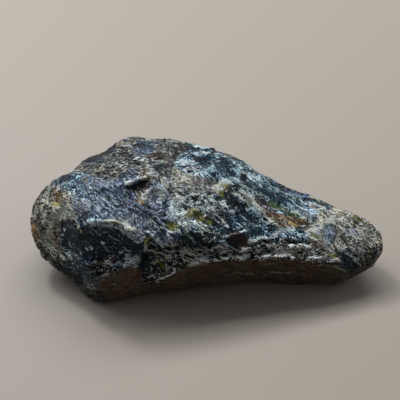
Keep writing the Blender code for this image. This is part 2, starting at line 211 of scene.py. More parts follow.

# Places that are paler (above 0) or darker (below 0), by how much. Part of this is the lump's own tone, part
# is painted shade (under overhangs, in the pit and along the shaded lower left edge) and part is painted
# light on faces that the lamps leave dark.
PAINTED_SHADING_AND_TONE = {
    -0.5: ((1.6, (92, 156), (104, 150), (114, 145)),),
    -0.45: (
        (0.8, (93, 218), (95, 220)), (0.8, (103, 219), (105, 221)), (0.8, (132, 187), (134, 189)),
        (0.8, (233, 236), (235, 238)),
    ),
    -0.4: (
        (1.6, (194, 157), (203, 161), (208, 157), (214, 165)), (0.8, (114, 223), (116, 225)),
        (0.8, (240, 234), (242, 236)),
    ),
    -0.35: ((1.2, (178, 238), (198, 242), (220, 241), (240, 245), (264, 246)),),
    -0.34: ((1.2, (244, 237), (254, 235)),),
    -0.3: (
        (1.3, (224, 192), (231, 200)), (1.5, (216, 224), (230, 232), (244, 238)),
        (1.2, (229, 187), (237, 188)), (1.0, (140, 185), (146, 184)),
    ),
    -0.28: (
        (1.4, (238, 176), (252, 186), (266, 193), (282, 198)),
        (2.0, (230, 204), (240, 217), (250, 227), (264, 234)),
        # painted shade along the shaded lower left edge
        (2.5, (48, 256), (62, 270), (80, 288), (96, 297)),
    ),
    -0.25: (
        (1.6, (58, 183), (66, 177), (75, 181)), (1.5, (164, 147), (178, 150), (192, 147)),
        (1.4, (224, 160), (232, 169)), (1.4, (222, 153), (244, 163), (270, 178), (300, 195), (330, 209)),
        (1.5, (74, 166), (62, 175), (70, 177)), (1.0, (213, 175), (215, 181)),
        (2.0, (84, 236), (100, 243), (118, 246), (132, 250)), (1.2, (208, 228), (214, 231)),
    ),
    -0.24: ((1.2, (262, 218), (276, 220)),),
    # painted shade below the pit's overhanging lip
    -0.22: ((1.2, (134, 189), (144, 186), (152, 185)),),
    -0.2: (
        (1.4, (130, 156), (134, 163)), (1.2, (160, 168), (170, 166)),
        (1.0, (188, 147), (204, 146), (216, 149)), (1.5, (33, 205), (36, 195), (42, 189)),
        (1.2, (145, 138), (156, 139)), (1.4, (269, 196), (277, 202)),
        (1.5, (342, 256), (352, 262), (361, 262)), (1.2, (266, 244), (278, 240)),
        (1.2, (326, 248), (334, 252)), (1.4, (246, 210), (251, 214)), (1.2, (196, 231), (206, 233)),
        (1.2, (265, 234), (270, 230)), (1.2, (300, 231), (306, 229)), (1.4, (218, 222), (226, 223)),
        (1.4, (298, 229), (306, 224)), (1.4, (288, 245), (302, 246)), (1.2, (350, 240), (360, 240)),
    ),
    -0.18: (
        (1.6, (164, 268), (182, 262)), (1.2, (308, 254), (330, 254)), (1.4, (278, 208), (296, 202)),
        (1.4, (98, 272), (92, 262)), (1.6, (188, 199), (200, 196), (214, 195)),
        (1.2, (324, 219), (332, 222)), (1.4, (308, 225), (316, 224)), (1.4, (84, 216), (92, 214)),
    ),
    -0.16: (
        (1.2, (145, 272), (150, 279)), (1.6, (226, 196), (236, 208), (246, 222)),
        (1.4, (188, 182), (194, 184)), (1.2, (212, 236), (216, 250)), (1.4, (270, 184), (280, 188)),
        (1.4, (180, 154), (188, 156)), (1.4, (178, 168), (192, 172)), (1.6, (240, 184), (234, 192)),
        (1.4, (212, 172), (217, 180)), (1.2, (246, 168), (250, 172)), (1.4, (206, 228), (214, 236)),
        (1.4, (180, 221), (190, 222)), (1.4, (146, 206), (156, 210)),
    ),
    -0.15: (
        (2.2, (84, 170), (98, 164), (110, 160)), (1.8, (128, 150), (141, 146), (154, 147)),
        (1.8, (62, 226), (70, 231), (66, 243)), (2.0, (110, 168), (124, 174), (134, 178)),
    ),
    -0.14: (
        (1.6, (62, 200), (70, 204)), (1.4, (62, 187), (76, 188)), (1.2, (64, 252), (76, 250)),
        (1.4, (216, 178), (224, 174)), (1.4, (148, 204), (156, 206)), (1.4, (104, 262), (112, 266)),
        (1.4, (114, 180), (122, 182)), (1.2, (169, 185), (168, 205), (166, 225)),
        (1.6, (150, 229), (158, 233)),
    ),
    -0.12: (
        (1.2, (150, 245), (160, 249), (175, 252)), (1.6, (104, 212), (114, 217)),
        (1.6, (124, 206), (132, 208)), (1.8, (108, 208), (120, 213)), (1.2, (163, 196), (166, 210)),
    ),
    -0.1: ((1.2, (266, 255), (292, 257)),),
    0.05: ((2.0, (52, 203), (62, 212), (70, 216)),),
    0.07: ((2.4, (44, 214), (54, 222), (46, 232)),),
    0.08: ((1.6, (62, 216), (68, 219)), (2.4, (128, 212), (142, 222), (150, 228)),),
    0.1: (
        (1.0, (192, 173), (202, 174), (210, 178)), (1.4, (184, 204), (198, 201), (212, 202)),
        (2.0, (118, 218), (130, 224), (140, 228)), (1.2, (116, 143), (124, 145)),
    ),
    0.12: (
        (1.8, (180, 178), (196, 184), (211, 188), (222, 184)), (2.2, (58, 276), (66, 284), (80, 290)),
        (2.2, (124, 212), (136, 216), (156, 214)), (1.4, (334, 217), (346, 221)),
        (2.0, (352, 236), (364, 240), (374, 246)), (1.6, (344, 220), (352, 224)),
        (2.6, (96, 236), (108, 246), (124, 244)), (1.4, (204, 156), (214, 164)),
    ),
    0.14: (
        (1.6, (150, 182), (160, 190), (170, 182)), (1.3, (66, 196), (72, 196)),
        (1.6, (80, 210), (88, 210)), (1.4, (244, 193), (248, 200)), (1.4, (252, 180), (257, 184)),
        (1.4, (127, 238), (133, 238)), (1.6, (96, 224), (116, 226)), (1.4, (206, 172), (212, 168)),
        (1.4, (254, 212), (260, 208)), (1.2, (180, 242), (196, 244)), (1.4, (190, 212), (198, 214)),
        (1.4, (68, 252), (78, 262)), (1.2, (326, 208), (338, 211), (350, 214)),
        (1.6, (66, 214), (78, 216), (84, 220)), (1.3, (266, 198), (276, 190), (286, 194)),
        (1.4, (280, 216), (290, 222)), (1.8, (242, 196), (256, 200)), (1.6, (54, 224), (62, 228)),
        (1.6, (98, 200), (106, 208)), (2.5, (150, 200), (165, 212), (185, 212)),
    ),
    0.16: (
        (1.2, (214, 188), (222, 186), (228, 184)), (1.2, (188, 223), (200, 227), (209, 226)),
        (1.2, (284, 249), (312, 250)), (1.4, (68, 193), (72, 197)), (1.2, (219, 190), (224, 193)),
        (1.8, (146, 196), (160, 188)), (1.4, (172, 168), (178, 169)), (1.4, (218, 239), (228, 245)),
        (1.4, (170, 254), (175, 258)), (2.0, (76, 274), (84, 284)), (1.6, (300, 212), (312, 216)),
        (1.6, (82, 203), (95, 210), (112, 214)), (1.4, (186, 250), (198, 252), (206, 250)),
        (0.9, (186, 265), (196, 262), (206, 261)), (2.6, (140, 178), (160, 184), (184, 188)),
        (1.6, (62, 210), (74, 206), (82, 202)), (1.5, (148, 190), (160, 194)),
        (1.8, (198, 182), (203, 190)), (1.4, (56, 190), (60, 196)), (1.6, (122, 182), (134, 184)),
        (1.6, (166, 241), (176, 242)), (1.8, (226, 206), (238, 214), (250, 226)),
        (1.6, (196, 156), (206, 154), (214, 160)), (1.4, (178, 164), (190, 160)),
        (1.4, (106, 158), (114, 164), (120, 172)),
    ),
    0.18: (
        (1.2, (308, 231), (316, 233)), (1.2, (126, 232), (134, 236)),
        (2.2, (296, 240), (310, 242), (325, 243), (338, 250)), (1.4, (350, 230), (366, 231)),
        (1.0, (240, 250), (255, 250), (270, 251), (288, 251)), (1.6, (228, 184), (240, 179)),
        (1.6, (306, 246), (318, 246), (330, 250)), (1.3, (158, 243), (164, 246), (172, 256)),
        (1.5, (318, 232), (330, 236), (338, 226)), (1.3, (251, 177), (257, 179)),
    ),
    0.2: (
        (1.4, (312, 216), (326, 218)), (1.4, (130, 260), (140, 258)), (1.4, (68, 176), (82, 177)),
        (1.0, (310, 256), (325, 258), (338, 259)), (2.0, (46, 222), (50, 230), (42, 240)),
        (1.0, (128, 228), (140, 231)), (1.4, (220, 184), (224, 192)), (1.2, (190, 252), (196, 262)),
        (1.2, (196, 226), (202, 228)),
    ),
    0.22: (
        (0.6, (239, 190), (248, 198), (256, 206), (265, 215), (275, 225)),
        (1.6, (242, 248), (252, 244), (264, 248)), (1.3, (278, 252), (286, 254)),
        (1.6, (346, 255), (356, 257)),
    ),
    0.24: (
        (1.2, (248, 239), (262, 238), (276, 234), (293, 228)), (1.2, (306, 230), (316, 227), (326, 221)),
        (0.8, (88, 220), (98, 223), (110, 225)),
    ),
    0.26: ((1.6, (46, 246), (52, 254)), (0.7, (126, 183), (132, 182)),),
    0.28: ((1.5, (174, 200), (172, 212), (177, 221)), (1.4, (248, 224), (262, 230)),),
    0.32: ((1.8, (298, 198), (310, 202), (318, 208), (330, 210)),),
    0.34: ((1.0, (92, 221), (108, 223), (122, 227)), (1.3, (216, 240), (224, 245)),),
}

# Colours of the marks, as sRGB.
TINTS = {
    "amber": (160, 118, 48),
    "orange": (146, 108, 72),
    "honey": (176, 132, 62),
    "yellow": (206, 192, 112),
    "gold": (192, 184, 88),
    "olive": (140, 142, 62),
    "deep": (12, 52, 72),
    "dusk": (54, 54, 62),
    "leaf": (82, 104, 60),
    "moss": (66, 74, 68),
    "sage": (98, 108, 100),
    "pale_green": (160, 174, 150),
    "cream": (200, 197, 174),
    "tan": (142, 132, 114),
    "drab": (112, 107, 106),
    "bronze": (126, 102, 74),
    "copper": (136, 100, 60),
    "umber": (88, 75, 69),
    "rust": (66, 45, 36),
    # white: pale strands and crust, and painted glints on glassy edges and facets
    "white_and_painted_glint": (228, 234, 234),
    # pale blue: pale crust at the lip, and painted reflections of the window on the glassy facets
    "pale_blue_and_painted_reflection": (150, 178, 186),
    "steel": (84, 103, 124),
    "blue": (56, 70, 92),
    "night": (7, 28, 38),
    "lilac": (132, 132, 150),
    "grey": (140, 140, 134),
    # near-black painted shade, for the marks in cracks, pits, grooves and under overhangs
    "painted_shade": (10, 9, 9),
}
CLEAR_TINTS = ("amber", "honey", "yellow", "gold", "olive")

# The broad marks, by colour.
PATCHES = {
    "night": (
        (1.6, (93, 157), (103, 152), (113, 148)), (0.8, (213, 150), (212, 155)),
        (1.1, (243, 174), (245, 184)), (0.8, (232, 188), (238, 188)),
    ),
    # painted shade under the pit's overhanging lip, in its hollows and in deep cracks and creases
    "painted_shade": (
        (0.5, (149, 207), (154, 208), (157, 209)), (0.5, (128, 188), (134, 186), (141, 183), (147, 180)),
        (0.8, (144, 254), (147, 262)), (0.5, (314, 219), (317, 219)),
        (0.5, (178, 246), (190, 247), (204, 251), (216, 254)), (0.5, (286, 243), (299, 242), (312, 244)),
        (0.5, (347, 227), (355, 227)), (0.5, (135, 162), (140, 165)), (0.4, (163, 170), (172, 171)),
        (0.4, (146, 203), (149, 206)),
    ),
    "deep": (
        (1.3, (199, 159), (206, 158)), (1.2, (200, 166), (208, 162)),
        (1.7, (218, 162), (224, 167), (230, 172)),
        (1.6, (231, 200), (236, 206), (241, 213), (247, 221), (256, 229)),
        (1.0, (215, 205), (222, 213), (228, 219)), (0.9, (264, 187), (273, 193), (284, 199)),
        (0.8, (296, 209), (306, 214), (311, 217)), (1.0, (258, 190), (264, 193)),
    ),
    "dusk": ((1.4, (62, 268), (72, 275), (80, 281)),),
    "rust": (
        (1.1, (33, 221), (39, 221), (43, 230), (41, 243)), (1.3, (259, 199), (265, 204), (270, 209)),
        (0.8, (262, 252), (275, 250), (285, 249)), (0.7, (225, 248), (233, 247)),
        (0.7, (319, 262), (328, 263), (336, 264)),
    ),
    "umber": (
        (1.4, (151, 156), (158, 155), (165, 158)), (0.9, (300, 223), (306, 227)),
        (0.5, (124, 198), (131, 200), (137, 202)), (0.7, (312, 249), (320, 246), (325, 251)),
        (0.6, (139, 187), (144, 188)), (0.5, (336, 230), (341, 231)), (0.9, (366, 232), (368, 239)),
        (1.0, (326, 216), (338, 217)),
    ),
    "bronze": ((1.3, (263, 208), (269, 214), (276, 219), (284, 223), (292, 225)),),
    "copper": (
        (1.3, (273, 213), (280, 216), (287, 218), (294, 220), (301, 222)), (1.2, (54, 190), (58, 196)),
    ),
    "cream": (
        (0.6, (143, 194), (147, 191)), (0.7, (51, 203), (54, 207)), (0.5, (120, 143), (127, 143)),
        (0.6, (144, 199), (147, 197)), (0.6, (173, 171), (176, 168), (179, 173)),
        (0.8, (181, 179), (189, 179)), (0.5, (242, 192), (249, 196)), (0.7, (315, 224), (325, 222)),
        (0.6, (311, 231), (317, 230), (321, 228)), (0.5, (95, 263), (100, 264), (105, 266)),
        (0.7, (330, 259), (337, 260)), (0.6, (282, 253), (290, 252), (299, 251)),
        (0.6, (96, 170), (103, 169)), (0.6, (213, 188), (217, 191), (221, 190)),
        (0.5, (225, 187), (227, 190)), (0.6, (104, 222), (114, 221), (119, 223)),
        (0.7, (125, 229), (134, 229)),
    ),
    "orange": (
        (0.6, (58, 199), (59, 203)), (0.6, (138, 199), (141, 203)), (0.5, (192, 180), (194, 183)),
        (0.5, (275, 212), (280, 216)),
    ),
    "amber": ((0.6, (284, 217), (290, 219), (296, 220)), (0.5, (140, 201), (144, 203)),),
    "honey": ((0.9, (34, 227), (36, 233), (36, 240)),),
    "leaf": (
        (1.0, (270, 204), (276, 207), (283, 210), (290, 213), (296, 216)),
        (0.6, (332, 268), (341, 270), (348, 272)),
    ),
    "olive": (
        (0.6, (221, 191), (222, 196)), (0.9, (187, 216), (191, 214)), (1.2, (195, 213), (200, 217)),
        (0.9, (169, 225), (174, 226)), (0.7, (207, 220), (210, 223)), (0.7, (160, 262), (162, 268)),
        (0.7, (356, 218), (360, 221)), (0.6, (313, 235), (317, 238)), (0.7, (328, 255), (335, 256)),
        (0.35, (114, 146), (121, 147)),
    ),
    "sage": ((1.1, (160, 190), (163, 196)), (0.9, (104, 157), (112, 158)),),
    "moss": ((0.8, (159, 167), (165, 165), (172, 164)), (0.6, (319, 203), (326, 204), (332, 206)),),
    "gold": ((0.5, (192, 209), (195, 212)), (0.5, (224, 185), (227, 187)),),
    "yellow": (
        (0.5, (171, 227), (175, 228)), (0.5, (190, 210), (193, 213)), (0.8, (52, 203), (56, 206)),
    ),
    "pale_green": (
        (0.6, (190, 264), (197, 263)), (0.7, (197, 225), (202, 227)), (0.5, (170, 230), (175, 231)),
        (0.6, (133, 260), (139, 260)), (0.5, (152, 262), (155, 264)), (0.6, (243, 187), (248, 190)),
        (0.6, (256, 189), (262, 194)), (0.6, (173, 176), (177, 179)),
    ),
    "tan": (
        (0.5, (62, 217), (67, 217), (72, 221)), (0.8, (116, 143), (121, 142)),
        (0.7, (136, 190), (140, 194), (143, 200)), (0.4, (83, 178), (84, 184)),
        (0.8, (320, 249), (324, 252)), (0.6, (236, 274), (245, 275), (253, 275)),
        (0.7, (364, 233), (365, 240)), (0.5, (264, 268), (271, 268), (278, 268)),
    ),
    "drab": ((1.3, (196, 181), (204, 183), (211, 182)), (0.8, (60, 206), (65, 210)),),
    # mostly painted reflections of the window on the teal facets at the top, and pale blue crust at the lip
    "pale_blue_and_painted_reflection": (
        (0.5, (89, 221), (93, 219), (98, 222)), (0.7, (132, 258), (138, 257)),
        (0.7, (202, 172), (208, 174)), (0.6, (207, 169), (212, 167)), (0.8, (219, 177), (226, 180)),
        (0.5, (228, 178), (231, 183)), (0.8, (234, 169), (240, 169), (239, 176)),
        (0.5, (237, 181), (240, 184)), (0.8, (250, 176), (256, 178)), (0.5, (212, 163), (214, 171)),
        (0.4, (62, 183), (70, 184), (74, 180)), (0.9, (251, 208), (256, 212), (261, 215)),
        (0.5, (284, 201), (290, 206), (294, 209)), (0.5, (270, 235), (277, 231), (286, 229)),
        (0.6, (82, 190), (86, 197)), (0.8, (127, 234), (133, 235)),
    ),
    # mostly painted glints and reflections on the teal facet at the top
    "white_and_painted_glint": (
        (0.8, (129, 263), (134, 262)), (0.6, (201, 152), (207, 154)), (0.4, (191, 155), (196, 154)),
        (0.5, (180, 165), (184, 162)), (0.4, (187, 162), (194, 161)), (0.4, (223, 157), (229, 156)),
        (0.4, (216, 154), (219, 154)), (0.5, (177, 196), (186, 198)), (0.6, (168, 231), (174, 232)),
    ),
    "steel": (
        (0.7, (79, 200), (82, 206)), (1.0, (253, 184), (259, 187)), (1.2, (119, 189), (122, 196)),
        (1.0, (325, 235), (332, 239)), (0.9, (151, 187), (152, 195)),
    ),
    "blue": (
        (0.9, (186, 167), (193, 168), (199, 169)), (0.8, (78, 212), (81, 218)),
        (1.3, (141, 145), (149, 148)), (0.5, (136, 212), (142, 214), (148, 217)),
        (1.2, (92, 159), (100, 161)),
    ),
    "lilac": (
        (0.8, (138, 231), (144, 231)), (0.9, (346, 231), (352, 230), (357, 232)),
        (0.7, (98, 183), (106, 185)), (0.5, (136, 152), (140, 154)),
    ),
    "grey": ((0.5, (101, 278), (105, 275)), (0.7, (359, 244), (363, 250), (364, 255)),),
}

# The thin marks, by colour.
LINES = {
    # painted shade along steps, grooves and cracks
    "painted_shade": (
        (0.2, (261, 209), (267, 215), (274, 221)), (0.25, (98, 177), (107, 178)),
        (0.4, (128, 192), (132, 196), (136, 199)), (0.35, (175, 222), (180, 227), (183, 231)),
        (0.3, (211, 211), (217, 217), (223, 224)), (0.3, (216, 211), (222, 216), (229, 223)),
    ),
    "night": ((0.35, (84, 213), (87, 217), (86, 221)),),
    "orange": ((0.3, (307, 204), (311, 210)),),
    "yellow": (
        (0.35, (289, 223), (292, 223)), (0.4, (294, 224), (297, 225)), (0.3, (194, 209), (199, 212)),
        (0.45, (146, 242), (149, 239)),
    ),
    "tan": (
        (0.4, (327, 267), (336, 267), (345, 271)), (0.35, (152, 158), (158, 156)),
        (0.35, (312, 208), (315, 210)), (0.4, (88, 286), (92, 291)),
    ),
    "cream": (
        (0.4, (79, 226), (82, 232)), (0.35, (152, 251), (158, 252)),
        (0.3, (160, 252), (165, 255), (170, 258)), (0.4, (48, 184), (52, 183)),
        (0.4, (43, 205), (47, 204)), (0.25, (202, 181), (203, 185)),
        (0.3, (191, 251), (200, 251), (205, 253), (208, 256)),
        (0.35, (241, 194), (247, 197), (254, 201), (258, 207), (262, 212), (266, 217),
         (271, 221), (278, 227)),
        (0.25, (293, 213), (300, 216), (306, 220)), (0.45, (310, 197), (316, 198), (320, 199)),
        (0.3, (338, 217), (345, 222), (350, 224), (352, 226)),
    ),
    # pale strands, and painted glints on glassy edges and at the pit's lip
    "white_and_painted_glint": (
        (0.28, (105, 226), (112, 227), (117, 229), (121, 232)),
        (0.28, (128, 236), (134, 241), (138, 242), (141, 241), (144, 238)),
        (0.3, (148, 232), (153, 236), (157, 241), (160, 243), (163, 246)), (0.6, (127, 184), (132, 182)),
        (0.4, (135, 159), (139, 159)), (0.4, (141, 161), (144, 161)), (0.45, (145, 159), (147, 159)),
        (0.35, (101, 243), (103, 245)), (0.3, (85, 248), (87, 250)), (0.4, (90, 248), (91, 249)),
        (0.3, (119, 253), (121, 253)), (0.25, (124, 251), (128, 252)), (0.25, (60, 235), (62, 235)),
        (0.4, (63, 231), (64, 230)), (0.45, (68, 254), (72, 258)),
        (0.2, (184, 169), (190, 167), (198, 168)), (0.22, (183, 171), (192, 169), (199, 171)),
        (0.3, (197, 174), (194, 176)), (0.25, (205, 202), (211, 205), (217, 210)),
        (0.22, (208, 203), (212, 208), (216, 213), (220, 218)),
        (0.3, (207, 210), (216, 215), (222, 220), (228, 227)),
        (0.25, (208, 214), (214, 218), (219, 222), (224, 226)), (0.3, (224, 204), (228, 208), (230, 211)),
        (0.5, (231, 211), (235, 211)), (0.35, (218, 202), (225, 201)),
        (0.25, (200, 196), (205, 197), (208, 200)),
        (0.35, (173, 201), (171, 206), (173, 212), (172, 217), (177, 219)),
        (0.35, (190, 195), (197, 195)),
        (0.3, (206, 228), (211, 232), (219, 234), (222, 237), (228, 236), (236, 234), (245, 231)),
        (0.28, (201, 261), (210, 260), (220, 259), (230, 257)), (0.3, (240, 258), (250, 255)),
        (0.5, (204, 239), (205, 240)), (0.25, (241, 226), (246, 224)), (0.25, (233, 228), (234, 229)),
        (0.25, (301, 225), (305, 225)), (0.3, (310, 220), (312, 221)),
        (0.4, (249, 242), (256, 241), (261, 238), (270, 239), (274, 238), (278, 233), (281, 229)),
        (0.3, (261, 215), (264, 217)), (0.25, (290, 245), (293, 245)),
        (0.35, (241, 252), (245, 249), (250, 247)), (0.5, (256, 250), (259, 252)),
        (0.3, (304, 244), (306, 247)), (0.3, (347, 254), (352, 257), (356, 261), (361, 266)),
        (0.25, (350, 254), (355, 258), (359, 263)),
        (0.25, (150, 271), (153, 276), (157, 279), (163, 277), (170, 274), (175, 270)),
        (0.3, (164, 200), (165, 198)),
    ),
    "grey": (
        (0.3, (104, 248), (107, 249)), (0.25, (62, 250), (66, 253)), (0.35, (69, 244), (71, 247)),
        (0.25, (219, 247), (223, 249), (228, 249)),
        (0.4, (306, 257), (312, 258), (315, 260), (320, 259), (326, 257)),
        (0.25, (348, 243), (354, 245), (360, 249)), (0.3, (112, 285), (115, 285)),
        (0.4, (270, 275), (282, 275), (294, 275)),
    ),
    # pale blue lines along ridges and strands, partly painted glints
    "pale_blue_and_painted_reflection": (
        (0.25, (108, 236), (113, 239), (117, 241)), (0.3, (113, 265), (119, 263)),
        (0.22, (176, 168), (182, 162), (188, 157), (196, 152), (204, 149), (212, 149)),
        (0.25, (209, 160), (213, 163), (216, 168)), (0.25, (233, 166), (237, 172), (238, 180)),
        (0.25, (219, 212), (223, 218), (226, 220)),
        (0.25, (236, 207), (239, 210), (241, 214), (244, 217), (246, 220)),
        (0.25, (172, 202), (180, 203), (185, 203), (187, 206)),
        (0.25, (181, 222), (186, 226), (192, 226), (196, 224)),
        (0.25, (218, 240), (223, 242), (227, 245), (231, 246), (235, 250)),
        (0.3, (186, 232), (188, 236), (193, 240), (196, 244)), (0.3, (281, 206), (287, 209), (293, 213)),
        (0.3, (262, 179), (267, 184), (272, 189), (277, 192), (285, 195), (292, 197), (308, 198)),
        (0.25, (304, 236), (305, 242), (307, 249)), (0.3, (307, 236), (311, 241)),
        (0.3, (341, 246), (345, 250)),
    ),
    "lilac": (
        (0.3, (76, 255), (80, 258)), (0.4, (156, 274), (160, 277)),
        (0.3, (150, 197), (153, 202), (156, 207)),
    ),
}
LINE_RISE = 0.10  # a pale line stands out by this much, and a black one lies as deep
FAR_FROM_MARKS = 9.0

# Where the sides of a ridge and of a line begin and end. The shares are of the half width, and the foot of a
# line is this far outside its half width.
RIDGE_FOOT_SHARE = 1.5
RIDGE_TOP_SHARE = 0.3
LINE_FOOT = 0.3
LINE_TOP_SHARE = 0.5

# The grain runs along the lump at its narrow end and its foot, and slants down to the right elsewhere.
GRAIN_TURNS = (math.radians(-4), math.radians(-42))
GRAIN_STRETCH = 0.42
SLANT_PASSES = 12
SLANTED_SHARE = {
    "crust": 0.7,
    "earth": 0.5,
    "slate": 1.0,
    "glass": 0.8,
    "teal": 0.8,
    "wispy": 1.0,
    "brown": 0.0,
    "fringe": 0.1,
}

# How far each wandering of an edge reaches, as (size of the bends, reach), and how much of it a shape takes.
WANDER = ((5.0, 0.9), (1.7, 0.5), (0.7, 0.3))
WANDER_SEED = 40
RIDGE_WANDER = 0.35
SHADING_AND_TONE_WANDER = 0.8

# Bends in straight noise, as (size, reach, seeds).
GRAIN_BEND = (7.0, 1.6, (80, 81, 82))
SCOOP_BEND = (2.4, 0.9, (90, 91, 92))

# The forms that the broken surface is made of, as (size, seed) and, for the last two, the layers of noise.
FLAKE = (2.2, 110)
PLATE = (4.6, 160)
SCOOP = (3.6, 200)
STRAND = (1.9, 220)
LUMP = (2.8, 100, 3)
FINE = (1.1, 120, 2)
STRAND_SLOPE = 2.4
STRAND_TOP = 0.5

# How high each form stands on each kind of surface.
FORM_HEIGHTS = {
    "crust": {"lump": 0.36, "flake": 0.26, "fine": 0.18},
    "earth": {"lump": 0.28, "flake": 0.24, "fine": 0.14},
    "slate": {"lump": 0.09, "plate": 0.20, "fine": 0.06},
    "glass": {"plate": 0.30, "scoop": 0.16},
    "teal": {"scoop": 0.50, "lump": 0.22, "fine": 0.06},
    "wispy": {"strand": 0.34, "lump": 0.16, "fine": 0.08},
    "brown": {"lump": 0.10, "plate": 0.06},
    "fringe": {"flake": 0.34, "strand": 0.26, "fine": 0.14},
}
# What is near 0 on each kind's sharp crests, and the factor that it is taken at.
CRESTS = {
    "crust": ("off_strand", 2.4),
    "earth": ("off_strand", 2.4),
    "slate": ("plate_edge", 1.0),
    "glass": ("plate_edge", 1.0),
    "teal": ("scoop_edge", 1.0),
    "wispy": ("off_strand", 2.2),
    "brown": ("plate_edge", 1.0),
    "fringe": ("off_strand", 2.2),
}


def rows_of(table):
    """The rows of a table of marks, as (key, half width, pixels)."""
    for key, rows in table.items():
        for half_width, *pixels in rows:
            yield key, half_width, pixels


def corner_gradients():
    steps = np.array(list(itertools.product((-1, 0, 1), repeat=3)), float)
    return steps[np.abs(steps).sum(axis=1) == 2]


GRADIENTS = corner_gradients()


def lattice(cell, seed):
    """A whole number from 0 to 255 for each cell of a grid."""
    table = np.random.default_rng(seed).permutation(256)
    first = table[cell[:, 0] & 255]
    second = table[(first + cell[:, 1]) & 255]
    return table[(second + cell[:, 2]) & 255]


def swell(points, size, seed):
    """Smooth noise from about -1 to 1, with lumps of the given size."""
    places = points / size
    cell = np.floor(places).astype(int)
    within = places - cell
    ease = within**3 * (within * (within * 6 - 15) + 10)
    total = np.zeros(len(places))
    for corner in itertools.product((0, 1), repeat=3):
        slope = GRADIENTS[lattice(cell + corner, seed) % len(GRADIENTS)]
        share = np.prod(np.where(corner, ease, 1 - ease), axis=1)
        total += share * ((within - corner) * slope).sum(axis=1)
    return total


def rough(points, size, seed, layers):
    """Noise in layers, each half the size and height of the one before."""
    return sum(swell(points, size / 2**k, seed + k) / 2**k for k in range(layers))


def bent(points, size, reach, seeds):
    """The points moved about, so that straight noise taken at them becomes wavy."""
    return points + np.stack([swell(points, size, seed) for seed in seeds], axis=1) * reach


def wandering(points, seed):
    """How far the edge of a patch or a line wanders at each point."""
    return sum(reach * swell(points, size, seed + k) for k, (size, reach) in enumerate(WANDER))


def cells(points, size, seed):
    """The points sorted into cells of the given size, as a broken surface is into its small faces.

    It gives the height of a flat, tilted face in each cell, the height of a rounded scoop there, which is 0
    in its middle, and the distance to the edge of the cell.
    """
    places = points / size
    base = np.floor(places).astype(int)
    first = np.full(len(places), np.inf)
    second = np.full(len(places), np.inf)
    tilted = np.zeros(len(places))
    for step in itertools.product((-1, 0, 1), repeat=3):
        cell = base + step
        pick = lattice(cell, seed)
        middle = cell + np.stack([lattice(cell, seed + k) for k in (1, 2, 3)], axis=1) / 255
        arm = places - middle
        far = (arm**2).sum(axis=1)
        height = (arm * GRADIENTS[pick % len(GRADIENTS)]).sum(axis=1) * 0.5 + pick / 255 - 0.5
        tilted = np.where(far < first, height, tilted)
        second = np.minimum(second, np.maximum(far, first))
        first = np.minimum(far, first)
    return tilted, first, (np.sqrt(second) - np.sqrt(first)) * size / 2


def shards(points, size, seed):
    """The height of a surface that is broken into flat, tilted pieces of the given size."""
    return cells(points, size, seed)[0]


def ramp(values, low, high):
    """0 below low, 1 above high, and a smooth rise between them."""
    share = np.clip((values - low) / (high - low), 0, 1)
    return share * share * (3 - 2 * share)


def fine_copy(node):
    """The node's mesh in millimetres, remeshed with small even faces: its points, its four-sided faces."""
    bm = bmesh.new()
    bm.from_mesh(node.data)
    bmesh.ops.remove_doubles(bm, verts=bm.verts, dist=SAME_POINT * MM)
    bmesh.ops.transform(bm, verts=bm.verts, matrix=Matrix.Scale(1 / MM, 4))
    mesh = bpy.data.meshes.new("coarse")
    bm.to_mesh(mesh)
    bm.free()
    holder = bpy.data.objects.new("coarse", mesh)
    bpy.context.scene.collection.objects.link(holder)
    remesh = holder.modifiers.new("even", "REMESH")
    remesh.mode = "VOXEL"
    remesh.voxel_size = VOXEL
    evaluated = holder.evaluated_get(bpy.context.evaluated_depsgraph_get())
    fine = bpy.data.meshes.new_from_object(evaluated)
    points = np.empty(len(fine.vertices) * 3)
    fine.vertices.foreach_get("co", points)
    corners = np.empty(len(fine.polygons) * 4, int)
    fine.polygons.foreach_get("vertices", corners)
    bpy.data.objects.remove(holder)
    return points.reshape(-1, 3), corners.reshape(-1, 4)


def edges_of(faces):
    pairs = np.concatenate([faces[:, [k, (k + 1) % 4]] for k in range(4)])
    return np.unique(np.sort(pairs, axis=1), axis=0)


def even_out(points, edges, passes, share=EVENING_SHARE):
    """Moves each point towards the middle of its neighbours, some passes in a row."""
    count = len(points)
    first, second = edges.T
    degree = (np.bincount(first, minlength=count) + np.bincount(second, minlength=count))[:, None]
    for _ in range(passes):
        around = np.stack(
            [
                np.bincount(first, weights=points[second, axis], minlength=count)
                + np.bincount(second, weights=points[first, axis], minlength=count)
                for axis in range(points.shape[1])
            ],
            axis=1,
        )
        points = points + (around / degree - points) * share
    return points


def normals_of(points, faces):
    first, second, third, fourth = (points[faces[:, k]] for k in range(4))
    across = np.cross(third - first, fourth - second)
    total = np.zeros_like(points)
    for axis, k in itertools.product(range(3), range(4)):
        total[:, axis] += np.bincount(faces[:, k], weights=across[:, axis], minlength=len(points))
    return total / np.linalg.norm(total, axis=1)[:, None]


